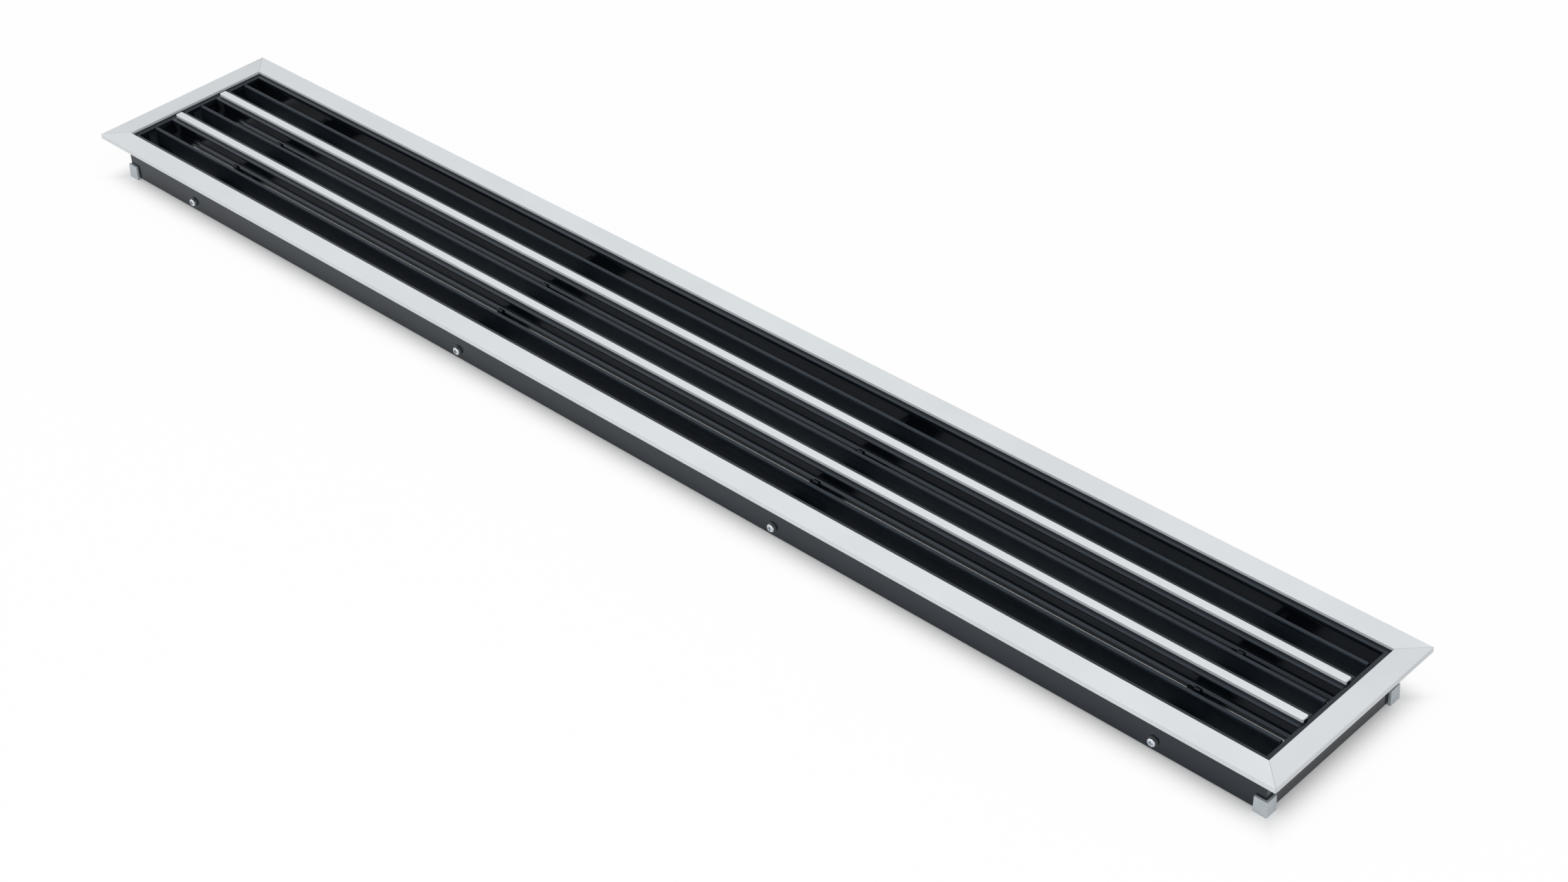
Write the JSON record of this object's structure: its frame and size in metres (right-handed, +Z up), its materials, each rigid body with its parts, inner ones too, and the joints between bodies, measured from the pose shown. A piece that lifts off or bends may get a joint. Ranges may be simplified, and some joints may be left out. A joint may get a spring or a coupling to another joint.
{
  "type": "linear slot diffuser",
  "caption": "Long ceiling air outlet with a mitred white flange, a black neck and air slots side by side, each with a black vane that swivels to turn the air.",
  "frame": {"origin": "middle of the flange outline, at the bottom of the corner feet", "axes": "+X along the slots, +Y across them to the rear, away from the bolt heads, +Z up out of the face"},
  "size_m": [1.0256, 0.1472, 0.0364],
  "materials": {
    "black_rail": "extruded aluminium with a satin black coat",
    "white_trim": "extruded aluminium with a white powder coat",
    "white_cap": "extruded aluminium with a white powder coat",
    "black_vane": "extruded aluminium, black, with fine lengthwise draw lines",
    "black_nylon": "moulded black nylon",
    "zinc_bolt": "bright zinc plate",
    "black_washer": "black oxide",
    "zinc_washer": "bright zinc plate",
    "zinc_nut": "bright zinc plate",
    "key_steel": "galvanised sheet",
    "white_foot": "moulded white plastic"
  },
  "bodies": {
    "frame": {"side_rail_front": "black_rail", "side_rail_rear": "black_rail", "end_rail_left": "black_rail", "end_rail_right": "black_rail", "flange_trim_front": "white_trim", "flange_trim_rear": "white_trim", "flange_trim_left": "white_trim", "flange_trim_right": "white_trim", "divider_front": "black_rail", "divider_rear": "black_rail", "divider_cap_front": "white_cap", "divider_cap_rear": "white_cap", "crossbar_1": "black_nylon", "crossbar_2": "black_nylon", "crossbar_3": "black_nylon", "crossbar_4": "black_nylon", "tie_bolts": "zinc_bolt", "head_washers": "black_washer", "nut_washers": "zinc_washer", "tie_nuts": "zinc_nut", "corner_key_rear_right": "key_steel", "corner_foot_rear_right": "white_foot", "corner_key_rear_left": "key_steel", "corner_foot_rear_left": "white_foot", "corner_key_front_left": "key_steel", "corner_foot_front_left": "white_foot", "corner_key_front_right": "key_steel", "corner_foot_front_right": "white_foot"},
    "front_vane": {"vane_front": "black_vane"},
    "middle_vane": {"vane_middle": "black_vane"},
    "rear_vane": {"vane_rear": "black_vane"}
  },
  "joints": [
    {"name": "front_vane_swivel", "type": "hinge", "parent": "frame", "child": "front_vane", "pos_m": [0, -0.04, 0.01366], "axis": [1, 0, 0], "range_deg": [-34, 36]},
    {"name": "middle_vane_swivel", "type": "hinge", "parent": "frame", "child": "middle_vane", "pos_m": [0, 0, 0.01366], "axis": [1, 0, 0], "range_deg": [-31, 39]},
    {"name": "rear_vane_swivel", "type": "hinge", "parent": "frame", "child": "rear_vane", "pos_m": [0, 0.04, 0.01366], "axis": [1, 0, 0], "range_deg": [-31, 39]}
  ]
}
